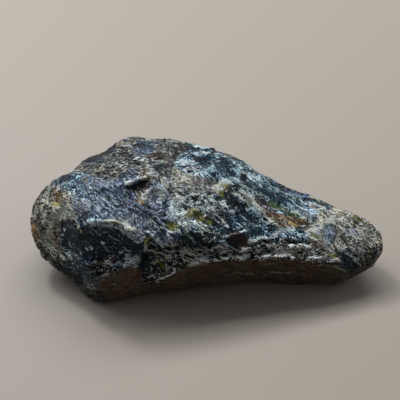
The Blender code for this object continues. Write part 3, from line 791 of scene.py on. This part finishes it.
class Stone:
    """The lump's fine surface while it is being worked, in millimetres."""

    def __init__(self, node):
        self.points, self.faces = fine_copy(node)
        self.edges = edges_of(self.faces)
        flat = self.points[:, 2] < VOXEL
        self.points = even_out(self.points, self.edges, EVENING_PASSES)
        self.points[flat, 2] = 0
        self.settle()
        self.tree = BVHTree.FromPolygons(self.points.tolist(), self.faces.tolist())
        self.wander = wandering(self.points, WANDER_SEED)
        self.start = self.points.copy()

    def settle(self):
        """Keeps the surface on the floor and refreshes its normals."""
        self.points[:, 2] = np.maximum(self.points[:, 2], 0)
        self.normals = normals_of(self.points, self.faces)

    def at(self, pixel):
        """The point of the surface that the photograph shows at a pixel."""
        half = PHOTO_SIDE / 2
        focal = half / math.tan(VIEW_ANGLE / 2)
        way = FORWARD * focal + Vector((pixel[0] - half, 0, 0)) + UPWARD * (half - pixel[1])
        hit = self.tree.ray_cast(EYE, way.normalized())[0]
        if hit is None:
            hit = self.tree.find_nearest(EYE + way.normalized() * DISTANCE)[0]
        return np.array(hit)

    def distance(self, pixels):
        """How far each point was, before it was worked, from a line through the given pixels."""
        route = [self.at(pixel) for pixel in pixels]
        nearest = np.full(len(self.start), np.inf)
        for start, end in zip(route, route[1:] or route):
            way = end - start
            along = np.clip(((self.start - start) @ way) / max(way @ way, TINY), 0, 1)[:, None]
            nearest = np.minimum(nearest, np.linalg.norm(self.start - start - along * way, axis=1))
        return nearest

    def nearest(self, place):
        return np.argmin(((self.points - place) ** 2).sum(axis=1))

    def hidden(self):
        """The points on the sides that the photograph doesn't show."""
        return np.flatnonzero(self.normals @ -np.array(FORWARD) < WELL_HIDDEN)

    def chip(self, spot, depth, radius):
        """Scoops the surface down to a large ball, which leaves a shallow bowl with a crisp edge."""
        centre = self.points[spot] + self.normals[spot] * (radius - depth)
        arm = self.points - centre
        far = np.linalg.norm(arm, axis=1)
        inside = far < radius
        self.points[inside] = centre + arm[inside] * (radius / far[inside])[:, None]
        self.settle()

    def kinds(self):
        """The share of each kind of surface at each point, as a dict of arrays."""
        chance = np.random.default_rng(KIND_SEED)
        spots = {kind: [self.at(pixel) for pixel in pixels] for kind, pixels in KIND_AT.items()}
        names = chance.choice(list(HIDDEN_SHARE), size=HIDDEN_PATCHES, p=list(HIDDEN_SHARE.values()))
        for kind, place in zip(names, chance.choice(self.hidden(), size=HIDDEN_PATCHES, replace=False)):
            spots[kind].append(self.points[place])
        under = np.flatnonzero((self.normals[:, 2] < UNDERSIDE) & (self.points[:, 2] < UNDERSIDE_TOP))
        spots["brown"] += list(self.points[chance.choice(under, size=UNDERSIDE_PATCHES, replace=False)])
        far = np.stack(
            [
                np.min([((self.points - spot) ** 2).sum(axis=1) for spot in spots[kind]], axis=0) ** 0.5
                + wandering(self.points, KIND_EDGE_SEED + KIND_EDGE_SEEDS * k)
                for k, kind in enumerate(KINDS)
            ]
        )
        share = np.exp((far.min(axis=0) - far) / EDGE_BETWEEN_KINDS)
        share /= share.sum(axis=0)
        return dict(zip(KINDS, share))

    def grains(self):
        """Coordinates that are stretched along each direction of the grain, with wavy lines."""
        x, y, z = bent(self.points, *GRAIN_BEND).T
        flows = []
        for turn in GRAIN_TURNS:
            run = x * math.cos(turn) + y * math.sin(turn)
            side = -x * math.sin(turn) + y * math.cos(turn)
            flows.append(np.stack([run * GRAIN_STRETCH, side, z], axis=1))
        return flows

    def breakage(self, flows, slant, share):
        """How far the broken surface stands out, and the distance to the nearest sharp crest of it."""

        def grained(noise, *args):
            level, slanted = (noise(flow, *args) for flow in flows)
            return level + (slanted - level) * slant

        plate, _, plate_edge = cells(self.points, *PLATE)
        _, scoop, scoop_edge = cells(bent(self.points, *SCOOP_BEND), *SCOOP)
        off_strand = np.abs(grained(swell, *STRAND))
        forms = {
            "flake": grained(shards, *FLAKE),
            "plate": plate,
            "scoop": scoop,
            "strand": STRAND_TOP - STRAND_SLOPE * off_strand,
            "lump": grained(rough, *LUMP),
            "fine": grained(rough, *FINE),
        }
        edges = {"off_strand": off_strand, "plate_edge": plate_edge, "scoop_edge": scoop_edge}
        height = crest = 0
        for kind in KINDS:
            height += share[kind] * sum(rise * forms[name] for name, rise in FORM_HEIGHTS[kind].items())
            edge, factor = CRESTS[kind]
            crest += share[kind] * (factor * edges[edge])
        return height, crest

    def work(self):
        """Chips, breaks and marks the surface, and returns what its material reads at each point."""
        for pixel, depth, radius in CHIPS:
            self.chip(self.nearest(self.at(pixel)), depth, radius)
        chance = np.random.default_rng(HIDDEN_CHIP_SEED)
        for spot in chance.choice(self.hidden(), size=HIDDEN_CHIPS, replace=False):
            depth, radius = chance.uniform(*HIDDEN_CHIP_DEPTH), chance.uniform(*HIDDEN_CHIP_RADIUS)
            if self.points[spot, 2] > VOXEL:
                self.chip(spot, depth, radius)
        share = self.kinds()
        flows = self.grains()
        slant = sum(share[kind] * SLANTED_SHARE[kind] for kind in KINDS)[:, None]
        slant = even_out(slant, self.edges, SLANT_PASSES)[:, 0]
        height, crest = self.breakage(flows, slant, share)
        for rise, half_width, pixels in rows_of(RELIEF):
            far = self.distance(pixels) + RIDGE_WANDER * self.wander
            height += rise * ramp(-far, -half_width * RIDGE_FOOT_SHARE, -half_width * RIDGE_TOP_SHARE)
        for name, half_width, pixels in rows_of(LINES):
            # lines of painted shade are also sunk into the surface; the others stand out
            rise = -LINE_RISE if name == "painted_shade" else LINE_RISE
            foot, top = -half_width - LINE_FOOT, -half_width * LINE_TOP_SHARE
            height += rise * ramp(-self.distance(pixels), foot, top)
        height *= ramp(self.points[:, 2], 0, FLOOR_FADE)
        resting = self.points[:, 2] < RESTING
        place = self.points.copy()
        self.points += self.normals * height[:, None]
        self.points[resting, 2] = 0
        self.settle()
        painted_shading_and_tone = 0
        # paler and darker places: partly the lump's own tone, partly painted shade and painted light
        for amount, half_width, pixels in rows_of(PAINTED_SHADING_AND_TONE):
            far = self.distance(pixels) + SHADING_AND_TONE_WANDER * self.wander
            painted_shading_and_tone += amount * np.exp(-((far / half_width) ** 2))
        told = {**share, "place": place, "height": height, "crest": crest, "painted_shading_and_tone": painted_shading_and_tone, "slant": slant}
        told["level_grain"], told["slanted_grain"] = flows
        for name, marks in {"patch": PATCHES, "line": LINES}.items():
            told[name + "_tint"], told[name + "_edge"], told[name + "_clear"] = self.marked(marks)
        return told

    def marked(self, marks):
        """The colour of the nearest mark, the distance to its edge (negative inside), whether it is clear."""
        tint = np.zeros((len(self.points), 3))
        edge = np.full(len(self.points), FAR_FROM_MARKS)
        clear = np.zeros(len(self.points))
        for name, half_width, pixels in rows_of(marks):
            far = self.distance(pixels) - half_width
            nearer = far < edge
            tint[nearer] = linear(TINTS[name])
            clear[nearer] = name in CLEAR_TINTS
            edge[nearer] = far[nearer]
        return tint, edge, clear


def linear(srgb):
    """An sRGB colour, 0 to 255, as the linear values that a shader takes."""
    shown = np.array(srgb) / 255
    return np.where(shown <= 0.04045, shown / 12.92, ((shown + 0.055) / 1.055) ** 2.4)


class Shading:
    """A material's node tree, put together with short calls."""

    def __init__(self, name):
        self.material = bpy.data.materials.new(name)
        self.material.use_nodes = True
        self.tree = self.material.node_tree
        self.surface = self.tree.nodes["Principled BSDF"]
        self.output = self.tree.nodes["Material Output"]

    def node(self, kind, inputs=(), **settings):
        made = self.tree.nodes.new("ShaderNode" + kind)
        for name, value in settings.items():
            setattr(made, name, value)
        for socket, value in dict(inputs).items():
            self.give(made.inputs[socket], value)
        return made

    def give(self, socket, value):
        """Links an output to a socket, or sets the socket's own value."""
        if isinstance(value, bpy.types.NodeSocket):
            self.tree.links.new(value, socket)
        else:
            socket.default_value = value

    def read(self, name, output="Fac"):
        return self.node("Attribute", attribute_name=name).outputs[output]

    def maths(self, operation, a, b=0.0, c=0.0, clamp=False):
        return self.node("Math", {0: a, 1: b, 2: c}, operation=operation, use_clamp=clamp).outputs[0]

    def noise(self, vector, scale, detail, roughness=0.6, distortion=0.0):
        inputs = {"Vector": vector, "Scale": scale, "Detail": detail, "Roughness": roughness}
        return self.node("TexNoise", {**inputs, "Distortion": distortion}).outputs["Fac"]

    def colours(self, value, stops):
        """A colour ramp, with stops as (place, sRGB colour)."""
        made = self.node("ValToRGB", {"Fac": value})
        ends = made.color_ramp.elements
        while len(ends) < len(stops):
            ends.new(0.5)
        for element, (place, colour) in zip(ends, stops):
            element.position = place
            element.color = (*linear(colour), 1)
        return made.outputs["Color"]

    def mix(self, share, none, full):
        """A colour that goes from one at share 0 to the other at share 1."""
        made = self.node("Mix", data_type="RGBA")
        self.give(made.inputs["Factor"], share)
        self.give(made.inputs[6], none)
        self.give(made.inputs[7], full)
        return made.outputs[2]

    def fade(self, value, start, end):
        """0 at start and 1 at end, with a smooth change between them."""
        inputs = {"Value": value, "From Min": start, "From Max": end}
        return self.node("MapRange", inputs, interpolation_type="SMOOTHSTEP").outputs["Result"]

    def weighted(self, shares, values):
        """The sum of each value times its share, for single numbers."""
        total = 0.0
        for share, value in zip(shares, values):
            total = self.maths("MULTIPLY_ADD", share, value, total)
        return total


# Where the five colours of a kind of surface lie between its lowest and highest grains.
TONE_AT = (0.15, 0.35, 0.48, 0.62, 0.92)
MIDDLE_TONE = 0.45


class Look(NamedTuple):
    """How a kind of surface looks.

    The first six are how much its grain, its pale flecks, its pale specks of crust, its crests, its pale
    veins and its dark cracks change its tone; the flecks, specks and crests are partly painted glints and
    highlights. Then come how many specks it has (0 for the most), how rough it shines, how clear it is, how
    deep its fine bumps are, and its tones from dark to pale as sRGB.
    """

    grain: float
    fleck: float
    spark: float
    crest: float
    vein: float
    crack: float
    many: float
    shine: float
    clear: float
    bump: float
    tones: tuple


LOOKS = {
    "crust": Look(3.2, 0.16, 0.30, 0.06, 0.22, -0.26, 0.0, 0.58, 0.0, 1.0,
                  ((16, 16, 14), (64, 63, 58), (98, 96, 89), (130, 128, 117), (220, 220, 206))),
    "earth": Look(3.2, 0.10, 0.26, 0.05, 0.18, -0.24, -0.02, 0.54, 0.0, 1.0,
                  ((14, 16, 18), (58, 60, 62), (88, 89, 89), (122, 122, 116), (218, 218, 208))),
    "slate": Look(2.4, 0.04, 0.26, 0.04, 0.08, -0.20, -0.06, 0.42, 0.0, 0.6,
                  ((11, 22, 34), (51, 64, 80), (82, 96, 112), (110, 122, 136), (212, 219, 224))),
    "glass": Look(2.3, 0.03, 0.50, 0.08, 0.04, -0.04, -0.15, 0.16, 0.35, 0.35,
                  ((2, 20, 29), (6, 33, 46), (12, 48, 64), (34, 72, 86), (210, 220, 222))),
    "teal": Look(2.6, 0.14, 0.50, 0.08, 0.28, -0.20, -0.03, 0.22, 0.15, 0.8,
                 ((1, 20, 30), (2, 41, 60), (8, 61, 84), (52, 101, 119), (228, 242, 244))),
    "wispy": Look(3.1, 0.18, 0.42, 0.10, 0.62, -0.30, 0.0, 0.34, 0.1, 0.9,
                  ((3, 15, 20), (13, 42, 50), (50, 77, 81), (120, 142, 139), (240, 248, 243))),
    "brown": Look(1.3, 0.08, 0.12, 0.03, 0.04, -0.04, -0.10, 0.40, 0.25, 0.3,
                  ((46, 37, 28), (72, 59, 45), (98, 82, 66), (122, 106, 88), (160, 146, 130))),
    "fringe": Look(3.0, 0.08, 0.50, 0.20, 0.56, -0.24, -0.02, 0.40, 0.1, 1.0,
                   ((4, 4, 4), (9, 9, 8), (19, 20, 19), (64, 65, 61), (232, 233, 226))),
}

# The noises of the material, as (scale, detail, roughness, distortion).
FINE_GRAIN = (2.8, 2.0, 0.80, 0.3)
BROAD_GRAIN = (1.4, 3.0, 0.78, 0.6)
FLECKS = (0.8, 3.0, 0.65, 0.8)
VEINS = (0.75, 2.0, 0.5, 0.3)
CRACKS = (0.60, 2.0, 0.5, 0.3)
MIDDLE_NOISE = 0.5

# The patches that a layer of the material is in, as (scale, noise at their edge, noise where they are full).
BUSY_AT = (0.6, 0.32, 0.62)
BROAD_AT = (0.5, 0.38, 0.60)
CRESTS_AT = (0.6, 0.36, 0.58)
VEINS_AT = (0.45, 0.40, 0.55)
CRACKS_AT = (0.40, 0.42, 0.56)
COOL_AT = (0.32, 0.38, 0.62)
PATCHY_DETAIL = 2.0
TINGE_DETAIL = 3.0

# The grain is stronger in busy places, and in some places it is broad for a part.
CALM_STRENGTH = 0.92
BUSY_ADDS = 0.60
BROAD_SHARE = 0.65

# Where the layers begin and end, in the values that they are worked out from.
FLECK_EDGE = (0.55, 0.66)
GLINT_AND_CRUMB_EDGE = (0.81, 0.88)
CREST_EDGE = (0.32, 0.06)
VEIN_WIDTH = 0.07
CRACK_WIDTH = 0.06
THREAD_CORE = 0.25
THREAD_ALONG = (0.4, 1.0, 1.0)
# the pale specks: bits of crust, and painted glints on the glassy faces
GLINT_AND_CRUMB_SCALE = 2.8
GLINT_AND_CRUMB_DETAIL = 1.0
CLUSTER_SCALE = 0.42
CLUSTER_SHARE = 0.5
GRAIN_IN_CRESTS = 0.9
SHADING_AND_TONE_IN_FLECKS = 0.45
SHADING_AND_TONE_IN_SPECKS = 0.25
SHADING_AND_TONE_IN_TONE = 0.8
# painted shade: hollows of the broken surface are darker and its high points paler
PAINTED_HOLLOW_SHADE = 0.10

WARM_TINGE = (1.05, 1.0, 0.92, 1.0)
COOL_TINGE = (0.95, 1.0, 1.08, 1.0)


class MarkEdge(NamedTuple):
    """A mark's edge: how ragged, how far in and how soft it is, and the tones from dark to full colour."""

    ragged: float
    inward: float
    soft: float
    dark: float
    full: float


MARK_EDGES = {"patch": MarkEdge(2.7, 0.15, 0.20, 0.05, 0.70), "line": MarkEdge(1.8, 0.05, 0.10, -0.20, 0.62)}
MARK_STRENGTH = 0.92
# marks go towards this near-black where the tone is low, so they darken with the painted shade in the tone
MARK_BLACK = (0.01, 0.01, 0.01, 1.0)
# the palest parts of the marks take this pale speck colour, partly a painted glint
GLINT_AND_CRUMB_COLOUR = (0.72, 0.76, 0.74, 1.0)
GLINTS_AND_CRUMBS_ON_MARKS = 0.7
GLINT_AND_CRUMB_TONES = (0.74, 1.0)
CLEAR_TONE = 0.72  # clear marks are drawn towards this tone, by this share, and have a less ragged edge
CLEAR_CALM = 0.65
CLEAR_EVEN_EDGE = 0.45

# What is pale is crust: it is dull and not see-through. A clear mark is a window in it.
PALE_TONES = (0.5, 0.72)
PALE_DULLS = 0.22
WINDOW_DULLS = -0.3
LEAST_DULL = 0.12
WINDOW_CLEARS = 0.2
FINE_BUMP = 0.40
ABSORPTION_COLOUR = (0.58, 0.50, 0.28, 1.0)
ABSORPTION_DENSITY = 2200.0
REFRACTION = 1.54
GLOSS = 0.25


class AmberShading(Shading):
    """Glassy dark resin with a crust, by the shares of each kind of surface that the mesh carries."""

    def __init__(self):
        super().__init__("raw_amber_surface")
        self.place = self.read("place", "Vector")
        self.painted_shading_and_tone = self.read("painted_shading_and_tone")
        self.shares = [self.read(kind) for kind in KINDS]

    def by_kind(self, name):
        return self.weighted(self.shares, [getattr(LOOKS[kind], name) for kind in KINDS])

    def streaks(self, scale, detail, roughness, distortion, along=(1.0, 1.0, 1.0)):
        """Noise that runs along the grain, level or slanted by the mesh's share."""
        noises = []
        for name in ("level_grain", "slanted_grain"):
            flow = {0: self.read(name, "Vector"), 1: along}
            flow = self.node("VectorMath", flow, operation="MULTIPLY").outputs[0]
            noises.append(self.noise(flow, scale, detail, roughness, distortion))
        level, slanted = noises
        return self.maths("MULTIPLY_ADD", self.maths("SUBTRACT", slanted, level), self.read("slant"), level)

    def threads(self, noise, width):
        """Thin winding lines: 1 on a line, 0 away from it."""
        off = self.maths("SUBTRACT", self.streaks(*noise, THREAD_ALONG), MIDDLE_NOISE)
        return self.fade(self.maths("ABSOLUTE", off), width, width * THREAD_CORE)

    def patches(self, scale, low, high, detail=PATCHY_DETAIL):
        return self.fade(self.noise(self.place, scale, detail), low, high)

    def grain(self):
        """The grain of the material, about 0 in its middle."""
        fine, broad = self.streaks(*FINE_GRAIN), self.streaks(*BROAD_GRAIN)
        broad_share = self.maths("MULTIPLY", self.patches(*BROAD_AT), BROAD_SHARE)
        mixed = self.maths("MULTIPLY_ADD", self.maths("SUBTRACT", broad, fine), broad_share, fine)
        busy = self.maths("MULTIPLY_ADD", self.patches(*BUSY_AT), BUSY_ADDS, CALM_STRENGTH)
        return self.maths("MULTIPLY", self.maths("SUBTRACT", mixed, MIDDLE_NOISE), busy)

    def glints_and_crumbs(self):
        """Small pale specks in clusters: bits of crust, and on the glassy faces painted glints."""
        glints_and_crumbs = self.noise(self.place, GLINT_AND_CRUMB_SCALE, GLINT_AND_CRUMB_DETAIL)
        glints_and_crumbs = self.maths("MULTIPLY_ADD", self.painted_shading_and_tone, SHADING_AND_TONE_IN_SPECKS, glints_and_crumbs)
        clusters = self.noise(self.place, CLUSTER_SCALE, PATCHY_DETAIL)
        glints_and_crumbs = self.maths("MULTIPLY_ADD", clusters, CLUSTER_SHARE, glints_and_crumbs)
        return self.fade(self.maths("ADD", glints_and_crumbs, self.by_kind("many")), *GLINT_AND_CRUMB_EDGE)

    def tone(self, grain):
        """How pale the surface is, from its layers, each as strong as its kind has it."""
        flecks = self.maths("MULTIPLY_ADD", self.painted_shading_and_tone, SHADING_AND_TONE_IN_FLECKS, self.streaks(*FLECKS))
        crests = self.maths("MULTIPLY_ADD", grain, GRAIN_IN_CRESTS, self.read("crest"))
        # the pale flecks, the specks and the pale crests are partly painted glints and highlights on glassy
        # relief and ridges
        layers = {
            "grain": grain,
            "fleck": self.fade(flecks, *FLECK_EDGE),
            "spark": self.glints_and_crumbs(),
            "crest": self.maths("MULTIPLY", self.fade(crests, *CREST_EDGE), self.patches(*CRESTS_AT)),
            "vein": self.maths("MULTIPLY", self.threads(VEINS, VEIN_WIDTH), self.patches(*VEINS_AT)),
            "crack": self.maths("MULTIPLY", self.threads(CRACKS, CRACK_WIDTH), self.patches(*CRACKS_AT)),
        }
        # the tone starts from the paler and darker places, which are partly painted shade and painted light
        tone = self.maths("MULTIPLY_ADD", self.painted_shading_and_tone, SHADING_AND_TONE_IN_TONE, MIDDLE_TONE)
        for amount, layer in layers.items():
            tone = self.maths("MULTIPLY_ADD", layer, self.by_kind(amount), tone)
        # painted shade in the hollows, from the height of the broken surface
        return self.maths("MULTIPLY_ADD", self.read("height"), PAINTED_HOLLOW_SHADE, tone)

    def ground(self, tone):
        """The colour of the surface without its marks."""
        total = None
        for share, kind in zip(self.shares, KINDS):
            colour = self.colours(tone, list(zip(TONE_AT, LOOKS[kind].tones)))
            layer = self.node("VectorMath", {0: colour, "Scale": share}, operation="SCALE").outputs[0]
            total = layer if total is None else self.node("VectorMath", {0: total, 1: layer}).outputs[0]
        tinge = self.mix(self.patches(*COOL_AT, TINGE_DETAIL), WARM_TINGE, COOL_TINGE)
        return self.node("VectorMath", {0: total, 1: tinge}, operation="MULTIPLY").outputs[0]

    def marked(self, colour, tone, grain, layer):
        """The colour with a layer of marks on it, and where they cover it."""
        look = MARK_EDGES[layer]
        clear = self.read(layer + "_clear")
        spread = self.maths("MULTIPLY_ADD", clear, CLEAR_EVEN_EDGE * look.ragged, -look.ragged)
        ragged = self.maths("MULTIPLY", grain, spread)
        edge = self.maths("ADD", self.maths("ADD", self.read(layer + "_edge"), look.inward), ragged)
        cover = self.fade(edge, look.soft, -look.soft)
        calm = self.maths("MULTIPLY", clear, CLEAR_CALM)
        tone = self.maths("MULTIPLY_ADD", self.maths("SUBTRACT", CLEAR_TONE, tone), calm, tone)
        # a low tone, painted shade included, takes the mark towards near-black
        tint = self.mix(self.fade(tone, look.dark, look.full), MARK_BLACK, self.read(layer + "_tint", "Color"))
        glints_and_crumbs = self.maths("MULTIPLY", self.fade(tone, *GLINT_AND_CRUMB_TONES), GLINTS_AND_CRUMBS_ON_MARKS)
        tint = self.mix(glints_and_crumbs, tint, GLINT_AND_CRUMB_COLOUR)
        return self.mix(self.maths("MULTIPLY", cover, MARK_STRENGTH), colour, tint), cover

    def without(self, share):
        return self.maths("SUBTRACT", 1.0, share)

    def glass(self, tone, patch, line):
        """How dull and how see-through the surface is, given the tone and where the marks cover it."""
        pale = self.fade(tone, *PALE_TONES)
        window = self.maths("MULTIPLY", patch, self.read("patch_clear"))
        dull = self.maths("MULTIPLY_ADD", pale, PALE_DULLS, self.by_kind("shine"))
        dull = self.maths("MULTIPLY_ADD", window, WINDOW_DULLS, dull, clamp=True)
        bare = self.maths("MULTIPLY", self.without(patch), self.without(line))
        clear = self.maths("MULTIPLY", self.by_kind("clear"), self.without(pale))
        clear = self.maths("MULTIPLY", clear, bare)
        clear = self.maths("MULTIPLY_ADD", window, WINDOW_CLEARS, clear, clamp=True)
        return self.maths("MAXIMUM", dull, LEAST_DULL), clear


def amber_material():
    shading = AmberShading()
    grain = shading.grain()
    tone = shading.tone(grain)
    colour, patch = shading.marked(shading.ground(tone), tone, grain, "patch")
    colour, line = shading.marked(colour, tone, grain, "line")
    dull, clear = shading.glass(tone, patch, line)
    relief = shading.maths("MULTIPLY", tone, shading.by_kind("bump"))
    bump = shading.node("Bump", {"Height": relief, "Distance": FINE_BUMP * MM, "Strength": 1.0})
    surface = {
        "Base Color": colour,
        "Roughness": dull,
        "Transmission Weight": clear,
        "IOR": REFRACTION,
        "Specular IOR Level": GLOSS,
        "Normal": bump.outputs["Normal"],
    }
    for socket, value in surface.items():
        shading.give(shading.surface.inputs[socket], value)
    volume = shading.node("VolumeAbsorption", {"Color": ABSORPTION_COLOUR, "Density": ABSORPTION_DENSITY})
    shading.give(shading.output.inputs["Volume"], volume.outputs["Volume"])
    return shading.material


def stone_piece():
    """The finished lump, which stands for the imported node."""
    stone = Stone(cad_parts[NODE])
    told = stone.work()
    mesh = bpy.data.meshes.new("amber_lump")
    mesh.from_pydata((stone.points * MM).tolist(), [], stone.faces.tolist())
    mesh.shade_smooth()
    for name, values in told.items():
        kind, key = ("FLOAT", "value") if values.ndim == 1 else ("FLOAT_VECTOR", "vector")
        layer = mesh.attributes.new(name, kind, "POINT")
        layer.data.foreach_set(key, values.astype(np.float32).ravel())
    mesh.materials.append(amber_material())
    piece = bpy.data.objects.new("amber_lump", mesh)
    bpy.context.scene.collection.objects.link(piece)
    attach(piece, "root")
    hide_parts(NODE)
    return piece


# The studio, in metres and watts.
FLOOR_REACH = 3.0
FLOOR_COLOUR = (152, 142, 131)
FLOOR_ROUGHNESS = 0.6
ROOM_COLOUR = (0.86, 0.90, 1.0, 1)
ROOM_STRENGTH = 0.175
NEAREST_SEEN = 0.01


class Light(NamedTuple):
    """A soft light: where it is, how wide and high it is, its watts and its colour."""

    place: tuple
    size: tuple
    power: float
    colour: tuple


LIGHTS = {
    "window": Light((-0.14, 0.58, 0.78), (1.30, 0.35), 10.0, (0.92, 0.97, 1.0)),
    "pane": Light((-0.32, 0.54, 0.68), (0.12, 0.12), 2.4, (0.95, 0.98, 1.0)),
    "side_fill": Light((0.75, 0.25, 0.55), (0.5, 0.5), 1.1, (1.0, 0.98, 0.95)),
    "left_fill": Light((-0.80, 0.22, 0.42), (0.5, 0.5), 1.3, (0.98, 0.98, 1.0)),
}


def plain(name, colour, roughness):
    paint = Shading(name)
    paint.give(paint.surface.inputs["Base Color"], (*linear(colour), 1))
    paint.give(paint.surface.inputs["Roughness"], roughness)
    return paint.material


def floor():
    bm = bmesh.new()
    bmesh.ops.create_grid(bm, x_segments=1, y_segments=1, size=FLOOR_REACH)
    mesh = bpy.data.meshes.new("floor")
    bm.to_mesh(mesh)
    bm.free()
    mesh.materials.append(plain("floor_paint", FLOOR_COLOUR, FLOOR_ROUGHNESS))
    made = bpy.data.objects.new("floor", mesh)
    bpy.context.scene.collection.objects.link(made)


def softbox(name, look):
    """A soft light that faces the lump."""
    data = bpy.data.lights.new(name, "AREA")
    data.shape = "RECTANGLE"
    data.size, data.size_y = look.size
    data.energy = look.power
    data.color = look.colour
    light = bpy.data.objects.new(name, data)
    light.location = look.place
    light.rotation_euler = (-Vector(look.place)).to_track_quat("-Z", "Y").to_euler()
    bpy.context.scene.collection.objects.link(light)


def studio():
    for name, look in LIGHTS.items():
        softbox(name, look)
    world = bpy.data.worlds.new("room")
    bpy.context.scene.world = world
    world.use_nodes = True
    background = world.node_tree.nodes["Background"]
    background.inputs["Color"].default_value = ROOM_COLOUR
    background.inputs["Strength"].default_value = ROOM_STRENGTH


def camera():
    data = bpy.data.cameras.new("photo_camera")
    data.lens = data.sensor_width / 2 / math.tan(VIEW_ANGLE / 2)
    data.clip_start = NEAREST_SEEN
    made = bpy.data.objects.new("photo_camera", data)
    made.location = EYE * MM
    made.rotation_euler = FORWARD.to_track_quat("-Z", "Y").to_euler()
    bpy.context.scene.collection.objects.link(made)
    bpy.context.scene.camera = made


bpy.context.scene.view_settings.view_transform = "Standard"
bpy.context.scene.view_settings.look = "Medium High Contrast"
camera()
studio()
floor()
stone_piece()
